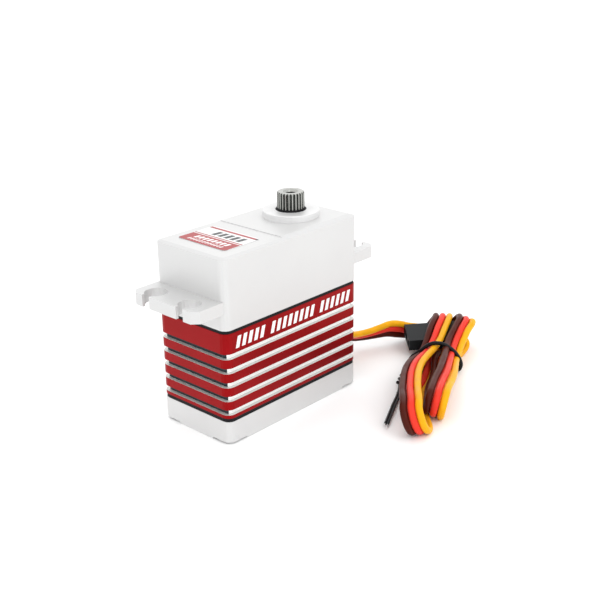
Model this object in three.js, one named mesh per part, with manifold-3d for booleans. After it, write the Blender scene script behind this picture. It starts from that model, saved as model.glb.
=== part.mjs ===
// Hobby servo motor, standard size: metal case, gear train, motor, electronics and lead.
// Millimetres, +Z up. The origin is at the centre of the bottom cover's underside.
// +X runs towards the output shaft's end of the case and -Y is the long front face.
// Heights inside the servo are measured from the cover's corner recesses, FOOT_HEIGHT above
// the bench. Everything on the free lead is measured from the bench itself.

import * as THREE from 'three';
import { mergeVertices } from 'three/addons/utils/BufferGeometryUtils.js';
import Module from 'manifold-3d';

const wasm = await Module();
wasm.setup();

// ---- driving dimensions -------------------------------------------------------------------

const CASE_LENGTH = 40.5;
const CASE_WIDTH = 20.2;
const CORNER_RADIUS = 1.7;
const WALL = 1.5;
const FOOT_HEIGHT = 0.4;
const CORNER_RECESS = 5.0;

const COVER_TOP = 4.7;
const LOWER_GASKET_TOP = 5.5;
const MIDDLE_TOP = 24.1;
const UPPER_GASKET_TOP = 24.8;
const MOTOR_DECK = 39.85;
const CASE_TOP = 40.0;
const STEP_X = -2.6;
const BEVEL_WIDTH = 1.4;
const BEVEL_HEIGHT = 0.45;

const GROOVE_TOPS = [19.7, 16.6, 13.5, 10.45, 7.4];
const GROOVE_HEIGHT = 1.1;
const GROOVE_DEPTH = 0.8;

const EAR_BOTTOM = 28.3;
const EAR_TOP = 30.9;
const EAR_TIP = 27.4;
const EAR_HALF_WIDTH = 9.5;
const EAR_CORNER = 1.4;
const EAR_HOLE_X = 24.6;
const EAR_HOLE_Y = 5.0;
const EAR_HOLE_RADIUS = 2.4;
const EAR_MOUTH = 2.0;

const OUTPUT_X = 9.85;
const BOSS_RADIUS = 6.2;
const BOSS_TOP = 41.5;
const SHAFT_RADIUS = 3.0;
const SPLINE_TOP = 45.4;
const SPLINE_TEETH = 25;
const HORN_SCREW_RADIUS = 1.25;

const SCREW_X = 17.9;
const SCREW_Y = 7.7;
const SCREW_SHANK = 0.8;
const SCREW_HEAD = 1.5;

// Gear centres. Gears 1 and 3 turn on pin 1, gear 2 turns on pin 2.
const MOTOR_X = -8.0;
const PIN_1 = [-0.14, 1.5];
const PIN_2 = [-6.78, -2.4];
const OUTPUT = [OUTPUT_X, 0];
const MOTOR = [MOTOR_X, 0];
const PIN_RADIUS = 0.75;
const RUNNING_GAP = 0.05;
const BACKLASH = 0.1;
const PRESSURE_ANGLE = THREE.MathUtils.degToRad(25);
const CURVED_FLANK_TEETH = 20;

const TEETH = {
  motor: 10,
  gear1Large: 46,
  gear1Small: 14,
  gear2Large: 36,
  gear2Small: 12,
  gear3Large: 38,
  gear3Small: 14,
  output: 34,
};

const MOTOR_RADIUS = 7.8;
const MOTOR_BOTTOM = 8.2;
const MOTOR_TOP = 22.0;
const BOARD_BOTTOM = 3.4;
const BOARD_THICKNESS = 1.0;

// ---- materials ----------------------------------------------------------------------------

function material(color, roughness, metalness) {
  return new THREE.MeshStandardMaterial({ color, roughness, metalness });
}

const silver = material(0xd9dadc, 0.42, 1.0);
const red = material(0x8c1414, 0.45, 0.6);
const rubber = material(0x141414, 0.85, 0.0);
const steel = material(0x8d8f92, 0.3, 1.0);
const brass = material(0xb08d4a, 0.35, 1.0);
const blackPlastic = material(0x1a1b1d, 0.5, 0.0);
const whitePlastic = material(0xe6e2d6, 0.5, 0.0);
const labelFilm = material(0xf2f2f2, 0.4, 0.0);
const boardGreen = material(0x1d5a34, 0.5, 0.0);
const copper = material(0xb4693a, 0.4, 1.0);
const gold = material(0xc9a24a, 0.3, 1.0);
const leadBrown = material(0x5a2323, 0.45, 0.0);
const leadRed = material(0xf54436, 0.45, 0.0);
const leadYellow = material(0xfabe1e, 0.45, 0.0);

// ---- solid helpers ------------------------------------------------------------------------

function bare(geometry) {
  const copy = geometry.clone();
  copy.deleteAttribute('normal');
  copy.deleteAttribute('uv');
  return mergeVertices(copy, 1e-4);
}

function solid(geometry) {
  const merged = bare(geometry);
  const points = merged.getAttribute('position').array;
  const corners = merged.getIndex().array;
  return new wasm.Manifold(new wasm.Mesh({
    numProp: 3,
    vertProperties: new Float32Array(points),
    triVerts: new Uint32Array(corners),
  }));
}

function geometryOf(manifold) {
  const mesh = manifold.getMesh();
  const geometry = new THREE.BufferGeometry();
  geometry.setAttribute('position', new THREE.BufferAttribute(mesh.vertProperties, 3));
  geometry.setIndex(new THREE.BufferAttribute(mesh.triVerts, 1));
  geometry.computeVertexNormals();
  return geometry;
}

function combine(base, { add = [], cut = [] }) {
  let result = solid(base);
  for (const piece of add) {
    result = result.add(solid(piece));
  }
  for (const piece of cut) {
    result = result.subtract(solid(piece));
  }
  return geometryOf(result);
}

function named(name, geometry, look) {
  const mesh = new THREE.Mesh(geometry, look);
  mesh.name = name;
  return mesh;
}

// ---- outline helpers ----------------------------------------------------------------------

function extrude(shape, bottom, top, curveSegments = 2) {
  const options = { depth: top - bottom, bevelEnabled: false, curveSegments };
  return new THREE.ExtrudeGeometry(shape, options).translate(0, 0, bottom);
}

function roundedRectangle(halfX, halfY, radius) {
  const shape = new THREE.Shape();
  shape.moveTo(halfX, -halfY + radius);
  shape.lineTo(halfX, halfY - radius);
  shape.absarc(halfX - radius, halfY - radius, radius, 0, Math.PI / 2, false);
  shape.lineTo(-halfX + radius, halfY);
  shape.absarc(-halfX + radius, halfY - radius, radius, Math.PI / 2, Math.PI, false);
  shape.lineTo(-halfX, -halfY + radius);
  shape.absarc(-halfX + radius, -halfY + radius, radius, Math.PI, 1.5 * Math.PI, false);
  shape.lineTo(halfX - radius, -halfY);
  shape.absarc(halfX - radius, -halfY + radius, radius, 1.5 * Math.PI, 2 * Math.PI, false);
  return shape;
}

// The inside of the case: a rectangle whose corners step in round the four screw posts.
function caseCavity(clearance = 0) {
  const x = CASE_LENGTH / 2 - WALL - clearance;
  const y = CASE_WIDTH / 2 - WALL - clearance;
  const postX = SCREW_X - 2.0 - clearance;
  const postY = SCREW_Y - 2.0 - clearance;
  const shape = new THREE.Shape();
  shape.moveTo(x, -postY);
  shape.lineTo(x, postY);
  shape.lineTo(postX, y);
  shape.lineTo(-postX, y);
  shape.lineTo(-x, postY);
  shape.lineTo(-x, -postY);
  shape.lineTo(-postX, -y);
  shape.lineTo(postX, -y);
  shape.closePath();
  return shape;
}

function cylinder(radius, bottom, top, [x, y] = [0, 0], segments = 24) {
  return new THREE.CylinderGeometry(radius, radius, top - bottom, segments)
    .rotateX(Math.PI / 2)
    .translate(x, y, (bottom + top) / 2);
}

// Turned solid about +Z from [radius, height] pairs.
function turned(profile, [x, y] = [0, 0], segments = 24) {
  const points = profile.map(([radius, height]) => new THREE.Vector2(radius, height));
  return new THREE.LatheGeometry(points, segments).rotateX(Math.PI / 2).translate(x, y, 0);
}

function ring(inner, outer, bottom, top, centre, segments = 24) {
  const profile = [[inner, bottom], [outer, bottom], [outer, top], [inner, top], [inner, bottom]];
  return turned(profile, centre, segments);
}

function block([x0, x1], [y0, y1], [z0, z1]) {
  return new THREE.BoxGeometry(x1 - x0, y1 - y0, z1 - z0)
    .translate((x0 + x1) / 2, (y0 + y1) / 2, (z0 + z1) / 2);
}

function screwPlaces() {
  const places = [];
  for (const sideX of [-1, 1]) {
    for (const sideY of [-1, 1]) {
      places.push([sideX * SCREW_X, sideY * SCREW_Y]);
    }
  }
  return places;
}

// ---- case ---------------------------------------------------------------------------------

function caseBlock(bottom, top) {
  const outline = roundedRectangle(CASE_LENGTH / 2, CASE_WIDTH / 2, CORNER_RADIUS);
  return extrude(outline, bottom, top);
}

// The upper block ends in a shallow bevel all round its top edge.
function bevelledBlock(bottom, top) {
  const halfX = CASE_LENGTH / 2 - BEVEL_WIDTH;
  const halfY = CASE_WIDTH / 2 - BEVEL_WIDTH;
  const outline = roundedRectangle(halfX, halfY, CORNER_RADIUS - BEVEL_WIDTH);
  const options = {
    depth: top - bottom - 2 * BEVEL_HEIGHT,
    bevelThickness: BEVEL_HEIGHT,
    bevelSize: BEVEL_WIDTH,
    bevelSegments: 1,
    curveSegments: 2,
  };
  return new THREE.ExtrudeGeometry(outline, options).translate(0, 0, bottom + BEVEL_HEIGHT);
}

function earPlate() {
  const outline = new THREE.Shape();
  const x = EAR_TIP;
  const y = EAR_HALF_WIDTH;
  outline.moveTo(x, -y + EAR_CORNER);
  outline.lineTo(x, y - EAR_CORNER);
  outline.lineTo(x - EAR_CORNER, y);
  outline.lineTo(-x + EAR_CORNER, y);
  outline.lineTo(-x, y - EAR_CORNER);
  outline.lineTo(-x, -y + EAR_CORNER);
  outline.lineTo(-x + EAR_CORNER, -y);
  outline.lineTo(x - EAR_CORNER, -y);
  outline.closePath();
  return extrude(outline, EAR_BOTTOM, EAR_TOP);
}

function earCuts() {
  const cuts = [];
  for (const sideX of [-1, 1]) {
    for (const sideY of [-1, 1]) {
      const centre = [sideX * EAR_HOLE_X, sideY * EAR_HOLE_Y];
      cuts.push(cylinder(EAR_HOLE_RADIUS, EAR_BOTTOM - 1, EAR_TOP + 1, centre, 20));
      const outer = [sideX * EAR_HOLE_X, sideX * (EAR_TIP + 1)].sort((a, b) => a - b);
      const mouth = [centre[1] - EAR_MOUTH / 2, centre[1] + EAR_MOUTH / 2];
      cuts.push(block(outer, mouth, [EAR_BOTTOM - 1, EAR_TOP + 1]));
    }
  }
  return cuts;
}

const GEARBOX_CEILING = 38.2;
const BEARING_SEAT_TOP = 40.4;

function topCase() {
  const boss = turned([
    [0, GEARBOX_CEILING],
    [BOSS_RADIUS, GEARBOX_CEILING],
    [BOSS_RADIUS, BOSS_TOP - 0.15],
    [BOSS_RADIUS - 0.15, BOSS_TOP],
    [0, BOSS_TOP],
  ], OUTPUT, 32);
  const lowerDeck = block([-30, STEP_X], [-15, 15], [MOTOR_DECK, CASE_TOP + 1]);
  const screwHoles = screwPlaces()
    .map((place) => cylinder(SCREW_SHANK + 0.02, UPPER_GASKET_TOP - 1, 33.3, place, 12));
  return combine(bevelledBlock(20, CASE_TOP), {
    add: [earPlate(), boss],
    cut: [
      block([-30, 30], [-15, 15], [10, UPPER_GASKET_TOP]),
      extrude(caseCavity(), 20, GEARBOX_CEILING),
      lowerDeck,
      cylinder(5.02, 30, BEARING_SEAT_TOP, OUTPUT, 24),
      cylinder(SHAFT_RADIUS + 0.4, 30, 50, OUTPUT, 24),
      cylinder(PIN_RADIUS + 0.02, 30, 39.2, PIN_1, 12),
      cylinder(PIN_RADIUS + 0.02, 30, 39.2, PIN_2, 12),
      ...earCuts(),
      ...screwHoles,
    ],
  });
}

// A groove is a rectangular ring cut into the outside of the body.
function groove(top) {
  const outside = roundedRectangle(CASE_LENGTH / 2 + 1, CASE_WIDTH / 2 + 1, CORNER_RADIUS + 1);
  const halfX = CASE_LENGTH / 2 - GROOVE_DEPTH;
  const halfY = CASE_WIDTH / 2 - GROOVE_DEPTH;
  outside.holes.push(roundedRectangle(halfX, halfY, CORNER_RADIUS - GROOVE_DEPTH));
  return extrude(outside, top - GROOVE_HEIGHT, top);
}

const DECK_BOTTOM = 22.0;
const GROMMET_Z = [5.5, 8.1];
const GROMMET_HALF_WIDTH = 3.0;

function middleCase() {
  const screwHoles = screwPlaces().map((place) => cylinder(SCREW_SHANK + 0.1, 0, 30, place, 12));
  const grommetNotch = block([15, 25], [-3.3, 3.3], [GROMMET_Z[0] - 1, GROMMET_Z[1] + 0.3]);
  return combine(caseBlock(LOWER_GASKET_TOP, MIDDLE_TOP), {
    cut: [
      extrude(caseCavity(), 0, DECK_BOTTOM),
      ...GROOVE_TOPS.map(groove),
      ...screwHoles,
      grommetNotch,
      cylinder(2.6, 20, 30, MOTOR, 20),
      cylinder(0.75, 20, 30, [MOTOR_X, 5.2], 10),
      cylinder(0.75, 20, 30, [MOTOR_X, -5.2], 10),
      cylinder(PIN_RADIUS + 0.02, 22.9, 30, PIN_1, 12),
      cylinder(4.02, 23.0, 30, OUTPUT, 24),
      cylinder(2.6, 20, 30, OUTPUT, 20),
    ],
  });
}

// The underside steps up at its four corners, where the screw heads sit.
function cornerRecesses() {
  const recesses = [];
  for (const [sideX, sideY] of [[-1, -1], [-1, 1], [1, -1], [1, 1]]) {
    const x = [sideX * (CASE_LENGTH / 2 - CORNER_RECESS), sideX * CASE_LENGTH];
    const y = [sideY * (CASE_WIDTH / 2 - CORNER_RECESS), sideY * CASE_WIDTH];
    const ordered = (pair) => pair.sort((low, high) => low - high);
    recesses.push(block(ordered(x), ordered(y), [-2, 0]));
  }
  return recesses;
}

function bottomCover() {
  const counterbores = screwPlaces().map((place) => cylinder(SCREW_HEAD + 0.2, -1, 1.6, place, 16));
  const screwHoles = screwPlaces().map((place) => cylinder(SCREW_SHANK + 0.1, -1, 10, place, 12));
  return combine(caseBlock(-FOOT_HEIGHT, COVER_TOP), {
    cut: [
      extrude(caseCavity(), 1.4, 10),
      ...counterbores,
      ...screwHoles,
      ...cornerRecesses(),
    ],
  });
}

function gasket(bottom, top) {
  const outline = roundedRectangle(CASE_LENGTH / 2 - 0.1, CASE_WIDTH / 2 - 0.1, CORNER_RADIUS);
  const screwHoles = screwPlaces().map((place) => cylinder(SCREW_SHANK + 0.1, 0, 30, place, 12));
  return combine(extrude(outline, bottom + 0.01, top - 0.01), {
    cut: [extrude(caseCavity(), 0, 30), ...screwHoles],
  });
}

// Cap screw with a hexagon socket in its head, which sits at the underside of the cover.
function caseScrew(place) {
  const head = cylinder(SCREW_HEAD, 0.2, 1.58, place, 16);
  const shank = cylinder(SCREW_SHANK, 1.0, 33.0, place, 12);
  const socket = cylinder(0.75, -1, 1.0, place, 6);
  return combine(head, { add: [shank], cut: [socket] });
}

function topLabel() {
  const outline = roundedRectangle(5.0, 6.9, 0.9);
  return extrude(outline, MOTOR_DECK + 0.01, MOTOR_DECK + 0.09).translate(-11.35, 0.35, 0);
}

// ---- gears --------------------------------------------------------------------------------

function rotated([x, y], angle) {
  const cos = Math.cos(angle);
  const sin = Math.sin(angle);
  return [x * cos - y * sin, x * sin + y * cos];
}

const involute = (angle) => Math.tan(angle) - angle;

// Involute gear outline. A tooth is centred on the direction `phase`.
function gearShape(teeth, pitchRadius, phase) {
  const module = (2 * pitchRadius) / teeth;
  const baseRadius = pitchRadius * Math.cos(PRESSURE_ANGLE);
  const tipRadius = pitchRadius + 0.8 * module;
  const rootRadius = pitchRadius - 1.15 * module;
  const halfTooth = Math.PI / (2 * teeth) - BACKLASH / (4 * pitchRadius);
  const halfAngle = (radius) => {
    const turn = Math.acos(Math.min(1, baseRadius / radius));
    return halfTooth + involute(PRESSURE_ANGLE) - involute(turn);
  };
  const flank = [rootRadius, tipRadius];
  if (teeth < CURVED_FLANK_TEETH) {
    flank.splice(1, 0, Math.max(baseRadius, rootRadius + 0.01), pitchRadius + 0.3 * module);
  }
  const points = [];
  for (let tooth = 0; tooth < teeth; tooth += 1) {
    const centre = phase + (2 * Math.PI * tooth) / teeth;
    for (const radius of flank) {
      points.push(rotated([radius, 0], centre - halfAngle(Math.max(radius, baseRadius))));
    }
    for (const radius of [...flank].reverse()) {
      points.push(rotated([radius, 0], centre + halfAngle(Math.max(radius, baseRadius))));
    }
  }
  return new THREE.Shape(points.map(([x, y]) => new THREE.Vector2(x, y)));
}

const distance = (a, b) => Math.hypot(a[0] - b[0], a[1] - b[1]);
const bearing = (from, to) => Math.atan2(to[1] - from[1], to[0] - from[0]);

// Pitch radii of two meshing gears from their tooth counts and the distance between centres.
function pitchRadii(teethA, teethB, spread) {
  return [(spread * teethA) / (teethA + teethB), (spread * teethB) / (teethA + teethB)];
}

// Where gear A has a tooth on the line to gear B, gear B has a space.
function meshedPhase(teethB, centreB, centreA) {
  return bearing(centreB, centreA) + Math.PI / teethB;
}

// Phase of gear B that meshes with gear A, whose own tooth direction is phaseA.
function followingPhase(teethA, phaseA, centreA, teethB, centreB) {
  const line = bearing(centreA, centreB);
  const offset = (line - phaseA) * (teethA / teethB);
  return meshedPhase(teethB, centreB, centreA) + offset;
}

const [motorPitch, gear1Pitch] = pitchRadii(TEETH.motor, TEETH.gear1Large, distance(MOTOR, PIN_1));
const [small1Pitch, gear2Pitch] = pitchRadii(TEETH.gear1Small, TEETH.gear2Large, distance(PIN_1, PIN_2));
const [small2Pitch, gear3Pitch] = pitchRadii(TEETH.gear2Small, TEETH.gear3Large, distance(PIN_2, PIN_1));
const [small3Pitch, outputPitch] = pitchRadii(TEETH.gear3Small, TEETH.output, distance(PIN_1, OUTPUT));

const gear1Phase = followingPhase(TEETH.motor, 0, MOTOR, TEETH.gear1Large, PIN_1);
const gear2Phase = followingPhase(TEETH.gear1Small, 0, PIN_1, TEETH.gear2Large, PIN_2);
const gear3Phase = followingPhase(TEETH.gear2Small, 0, PIN_2, TEETH.gear3Large, PIN_1);
const outputPhase = followingPhase(TEETH.gear3Small, 0, PIN_1, TEETH.output, OUTPUT);

function gearDisc(teeth, pitchRadius, phase, bottom, top, [x, y]) {
  return extrude(gearShape(teeth, pitchRadius, phase), bottom, top).translate(x, y, 0);
}

function compoundGear(large, small, centre, bottom, top) {
  return combine(large, {
    add: [small],
    cut: [cylinder(PIN_RADIUS + RUNNING_GAP, bottom - 1, top + 1, centre, 16)],
  });
}

function gear1() {
  const large = gearDisc(TEETH.gear1Large, gear1Pitch, gear1Phase, 26.0, 27.4, PIN_1);
  const small = gearDisc(TEETH.gear1Small, small1Pitch, 0, 27.2, 29.9, PIN_1);
  return compoundGear(large, small, PIN_1, 26.0, 29.9);
}

function gear2() {
  const large = gearDisc(TEETH.gear2Large, gear2Pitch, gear2Phase, 28.2, 29.7, PIN_2);
  const small = gearDisc(TEETH.gear2Small, small2Pitch, 0, 29.5, 33.0, PIN_2);
  return compoundGear(large, small, PIN_2, 28.2, 33.0);
}

function gear3() {
  const large = gearDisc(TEETH.gear3Large, gear3Pitch, gear3Phase, 30.4, 32.4, PIN_1);
  const small = gearDisc(TEETH.gear3Small, small3Pitch, 0, 32.2, 36.9, PIN_1);
  return compoundGear(large, small, PIN_1, 30.4, 36.9);
}

function outputGear() {
  return combine(gearDisc(TEETH.output, outputPitch, outputPhase, 33.2, 36.2, OUTPUT), {
    cut: [cylinder(2.66, 30, 40, OUTPUT, 24)],
  });
}

function motorPinion() {
  return combine(gearDisc(TEETH.motor, motorPitch, 0, 24.4, 27.8, MOTOR), {
    cut: [cylinder(0.62, 20, 30, MOTOR, 12)],
  });
}

// ---- output shaft and bearings ------------------------------------------------------------

function splineShape() {
  const points = [];
  for (let tooth = 0; tooth < SPLINE_TEETH; tooth += 1) {
    const pitch = (2 * Math.PI) / SPLINE_TEETH;
    const centre = tooth * pitch;
    points.push(rotated([SHAFT_RADIUS - 0.28, 0], centre - 0.36 * pitch));
    points.push(rotated([SHAFT_RADIUS, 0], centre - 0.14 * pitch));
    points.push(rotated([SHAFT_RADIUS, 0], centre + 0.14 * pitch));
    points.push(rotated([SHAFT_RADIUS - 0.28, 0], centre + 0.36 * pitch));
  }
  return new THREE.Shape(points.map(([x, y]) => new THREE.Vector2(x, y)));
}

function outputShaft() {
  const spline = extrude(splineShape(), 41.9, SPLINE_TOP).translate(OUTPUT_X, 0, 0);
  const body = turned([
    [0, 23.1],
    [1.98, 23.1],
    [1.98, 32.0],
    [2.6, 32.0],
    [2.6, 36.4],
    [2.98, 36.4],
    [2.98, 41.3],
    [2.7, 41.5],
    [2.7, 42.1],
    [0, 42.1],
  ], OUTPUT, 32);
  const screwHole = turned([
    [0, 36.5],
    [HORN_SCREW_RADIUS, 36.5],
    [HORN_SCREW_RADIUS, SPLINE_TOP - 0.5],
    [HORN_SCREW_RADIUS + 1, SPLINE_TOP + 0.5],
    [0, SPLINE_TOP + 0.5],
  ], OUTPUT, 16);
  const endChamfer = turned([
    [SHAFT_RADIUS - 0.45, SPLINE_TOP + 0.2],
    [SHAFT_RADIUS + 0.3, SPLINE_TOP - 0.55],
    [SHAFT_RADIUS + 0.3, SPLINE_TOP + 0.2],
    [SHAFT_RADIUS - 0.45, SPLINE_TOP + 0.2],
  ], OUTPUT, 32);
  const driveSlot = block([OUTPUT_X - 1.3, OUTPUT_X + 1.3], [-0.5, 0.5], [20, 25.5]);
  return combine(spline, { add: [body], cut: [screwHole, endChamfer, driveSlot] });
}

function shaftSeal() {
  return turned([
    [2.72, 41.55],
    [3.1, 41.3],
    [3.35, 41.3],
    [3.35, BOSS_TOP - 0.05],
    [3.14, BOSS_TOP + 0.02],
    [3.14, 41.8],
    [3.04, 41.88],
    [2.72, 41.88],
    [2.72, 41.55],
  ], OUTPUT, 24);
}

const BALL_COUNT = 7;

// Balls joined by a thin cage ring, so that they turn together.
function ballCage(orbit, ballRadius, height, [x, y]) {
  const cage = ring(orbit - 0.12, orbit + 0.12, height - 0.15, height + 0.15, [x, y], 24);
  const balls = [];
  for (let index = 0; index < BALL_COUNT; index += 1) {
    const [ballX, ballY] = rotated([orbit, 0], (2 * Math.PI * index) / BALL_COUNT);
    const ball = new THREE.IcosahedronGeometry(ballRadius, 1);
    balls.push(ball.translate(x + ballX, y + ballY, height));
  }
  return combine(cage, { add: balls });
}

const UPPER_BEARING = { bore: 3.0, outside: 5.0, bottom: 37.6, top: 40.38 };
const LOWER_BEARING = { bore: 2.0, outside: 4.0, bottom: 23.02, top: 25.4 };
const RACE_SHARE = 0.26;

function innerRace({ bore, outside, bottom, top }) {
  return ring(bore + 0.04, bore + RACE_SHARE * (outside - bore), bottom, top, OUTPUT);
}

function outerRace({ bore, outside, bottom, top }) {
  return ring(outside - RACE_SHARE * (outside - bore), outside, bottom, top, OUTPUT);
}

function bearingBalls({ bore, outside, bottom, top }) {
  const spaceForBall = (outside - bore) * (1 - 2 * RACE_SHARE);
  return ballCage((bore + outside) / 2, spaceForBall / 2 - 0.02, (bottom + top) / 2, OUTPUT);
}

// ---- motor, sensor and electronics --------------------------------------------------------

function motorCan() {
  const can = turned([
    [0, MOTOR_TOP - 1.0],
    [0, MOTOR_TOP],
    [MOTOR_RADIUS, MOTOR_TOP],
    [MOTOR_RADIUS, MOTOR_BOTTOM],
    [MOTOR_RADIUS - 0.8, MOTOR_BOTTOM],
    [MOTOR_RADIUS - 0.8, MOTOR_TOP - 1.0],
    [0, MOTOR_TOP - 1.0],
  ].reverse(), MOTOR, 32);
  return combine(can, {
    cut: [
      cylinder(0.9, 15, 25, MOTOR, 16),
      cylinder(0.72, 20, 25, [MOTOR_X, 5.2], 10),
      cylinder(0.72, 20, 25, [MOTOR_X, -5.2], 10),
    ],
  });
}

// Plastic end cap with the two brush terminals standing out of its underside.
function motorEndCap() {
  const plug = cylinder(MOTOR_RADIUS - 0.9, MOTOR_BOTTOM - 0.6, MOTOR_BOTTOM + 1.6, MOTOR, 24);
  const terminals = [-1, 1].map((side) => {
    const y = side * 4.6;
    return block([MOTOR_X - 0.9, MOTOR_X + 0.9], [y - 0.25, y + 0.25], [6.6, 8.6]);
  });
  return combine(plug, { add: terminals, cut: [cylinder(0.7, 5, 12, MOTOR, 16)] });
}

// Armature and shaft in one: three poles round the shaft, which carries the pinion on top.
function motorRotor() {
  const shaft = cylinder(0.6, MOTOR_BOTTOM - 0.4, 27.9, MOTOR, 12);
  const poles = [0, 1, 2].map((index) => {
    const pole = block([0.2, 6.0], [-1.6, 1.6], [11.5, 19.5]);
    return pole.rotateZ((2 * Math.PI * index) / 3).translate(MOTOR_X, 0, 0);
  });
  const commutator = cylinder(1.6, 10.2, 11.7, MOTOR, 12);
  return combine(shaft, { add: [...poles, commutator] });
}

// Small screws hold the motor can up against the underside of the gear deck.
function motorScrew(side) {
  const place = [MOTOR_X, side * 5.2];
  const head = cylinder(1.3, MIDDLE_TOP + 0.02, MIDDLE_TOP + 0.8, place, 16);
  const shank = cylinder(0.68, 20.6, MIDDLE_TOP + 0.4, place, 10);
  const slot = block([MOTOR_X - 2, MOTOR_X + 2], [place[1] - 0.2, place[1] + 0.2], [24.5, 26]);
  return combine(head, { add: [shank], cut: [slot] });
}

const SENSOR_BOTTOM = 12.6;
const SENSOR_TOP = 18.6;

function potentiometerBody() {
  const drum = cylinder(5.0, SENSOR_BOTTOM, SENSOR_TOP, OUTPUT, 24);
  const collar = cylinder(2.4, SENSOR_TOP - 0.2, DECK_BOTTOM - 0.3, OUTPUT, 20);
  const legs = [-1, 0, 1].map((index) => {
    const y = index * 2.2;
    return block([OUTPUT_X + 4.6, OUTPUT_X + 8.0], [y - 0.4, y + 0.4], [13.2, 13.7]);
  });
  return combine(drum, { add: [collar, ...legs], cut: [cylinder(1.06, 15, 25, OUTPUT, 16)] });
}

// The shaft's flat tongue stands in the slot under the output shaft and turns with it.
function potentiometerShaft() {
  const shaft = cylinder(1.0, 15.3, 23.0, OUTPUT, 16);
  const tongue = block([OUTPUT_X - 0.85, OUTPUT_X + 0.85], [-0.42, 0.42], [22.8, 25.2]);
  return combine(shaft, { add: [tongue] });
}

function circuitBoard() {
  const board = extrude(caseCavity(0.3), BOARD_BOTTOM, BOARD_BOTTOM + BOARD_THICKNESS);
  return board;
}

function chip(centreX, centreY, lengthX, lengthY, height) {
  const bottom = BOARD_BOTTOM + BOARD_THICKNESS + 0.02;
  const body = block(
    [centreX - lengthX / 2, centreX + lengthX / 2],
    [centreY - lengthY / 2, centreY + lengthY / 2],
    [bottom + 0.1, bottom + height],
  );
  const pins = [];
  for (let index = -2; index <= 2; index += 1) {
    const x = centreX + (index * lengthX) / 6;
    const acrossY = [centreY - lengthY / 2 - 0.7, centreY + lengthY / 2 + 0.7];
    pins.push(block([x - 0.15, x + 0.15], acrossY, [bottom, bottom + 0.3]));
  }
  return combine(body, { add: pins });
}

function capacitor() {
  const bottom = BOARD_BOTTOM + BOARD_THICKNESS + 0.02;
  return turned([
    [0, bottom],
    [2.0, bottom],
    [2.0, bottom + 0.6],
    [1.8, bottom + 0.8],
    [2.0, bottom + 1.0],
    [2.0, bottom + 4.8],
    [0, bottom + 4.8],
  ], [3.6, -5.4], 20);
}

// ---- lead ---------------------------------------------------------------------------------

const WIRE_PITCH = 1.6;
const WIRE_SOLID_RADIUS = 0.62;
const BOOT_TIP = 25.2;

// Rubber boot: a flange inside the wall, a tapering sleeve outside, one hole for each wire.
function cableGrommet() {
  const flange = block([17.0, 18.5], [-4.2, 4.2], [GROMMET_Z[0] + 0.2, GROMMET_Z[1] + 1.0]);
  const neck = block(
    [18.0, 20.8],
    [-GROMMET_HALF_WIDTH, GROMMET_HALF_WIDTH],
    [GROMMET_Z[0] + 0.1, GROMMET_Z[1]],
  );
  const sleeve = roundedRectangle(1.3, 2.7, 0.8);
  const boot = new THREE.ExtrudeGeometry(sleeve, { depth: 5, bevelEnabled: false, curveSegments: 2 })
    .rotateY(Math.PI / 2)
    .translate(BOOT_TIP - 5, 0, 6.8);
  const holes = [-1, 0, 1].map((index) => new THREE.CylinderGeometry(0.64, 0.64, 12, 10)
    .rotateZ(Math.PI / 2)
    .translate(21, index * WIRE_PITCH, 6.8));
  return combine(flange, { add: [neck, boot], cut: holes });
}

// Free stretch of the three-wire lead, boot to hank. `across` points from brown to yellow.
const LEAD_ROUTE = [
  { at: [25.5, 0, 7.2], across: [0, -1, 0] },
  { at: [28.5, 0, 6.2], across: [0, -0.97, 0.24] },
  { at: [32.0, 0, 4.8], across: [0, -0.82, 0.57] },
  { at: [35.5, -0.7, 4.3], across: [0, -0.7, 0.71] },
  { at: [38.5, -1.8, 4.4], across: [0, -0.55, 0.83] },
  { at: [41.5, -3.0, 4.5], across: [0, -0.35, 0.94] },
  { at: [44.0, -4.1, 3.9], across: [0, -0.25, 0.97] },
  { at: [46.3, -4.9, 3.1], across: [-0.15, -0.3, 0.94] },
];

function leadWire(side) {
  const points = LEAD_ROUTE.map(({ at, across }) => new THREE.Vector3(
    at[0] + side * WIRE_PITCH * across[0],
    at[1] + side * WIRE_PITCH * across[1],
    at[2] + side * WIRE_PITCH * across[2],
  ));
  const section = new THREE.Shape();
  section.absarc(0, 0, WIRE_SOLID_RADIUS, 0, 2 * Math.PI, false);
  const options = { extrudePath: new THREE.CatmullRomCurve3(points), steps: 12, curveSegments: 4 };
  return new THREE.ExtrudeGeometry(section, options);
}

// The hank lies on the bench. Its own frame: X along its length, -Y to its right-hand side.
const HANK_CENTRE = [38.8, -19.3];
const HANK_TURN = THREE.MathUtils.degToRad(29.54);

const HANK_OUTLINE = [
  [19.6, 1.0],
  [19.4, -4.5],
  [17.5, -7.6],
  [13.0, -8.0],
  [8.0, -7.3],
  [2.0, -6.2],
  [-5.0, -5.8],
  [-14.0, -6.2],
  [-26.0, -5.7],
  [-29.5, -5.0],
  [-32.0, -2.9],
  [-36.3, -1.8],
  [-37.6, 0.6],
  [-36.8, 2.6],
  [-33.0, 3.8],
  [-26.0, 4.9],
  [-14.0, 6.1],
  [-5.0, 5.3],
  [2.0, 4.0],
  [11.7, 3.4],
  [12.4, 7.2],
  [14.6, 9.2],
  [17.2, 7.4],
  [19.2, 4.0],
];

const HANK_PROFILE = [
  [-38, 0.06],
  [20, 0.06],
  [20, 4.5],
  [18.4, 7.0],
  [14.5, 7.9],
  [8.0, 7.3],
  [0.5, 6.35],
  [-5.0, 6.4],
  [-14.0, 7.0],
  [-24.0, 7.5],
  [-33.0, 7.8],
  [-36.6, 6.8],
  [-38, 4.0],
];

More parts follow.
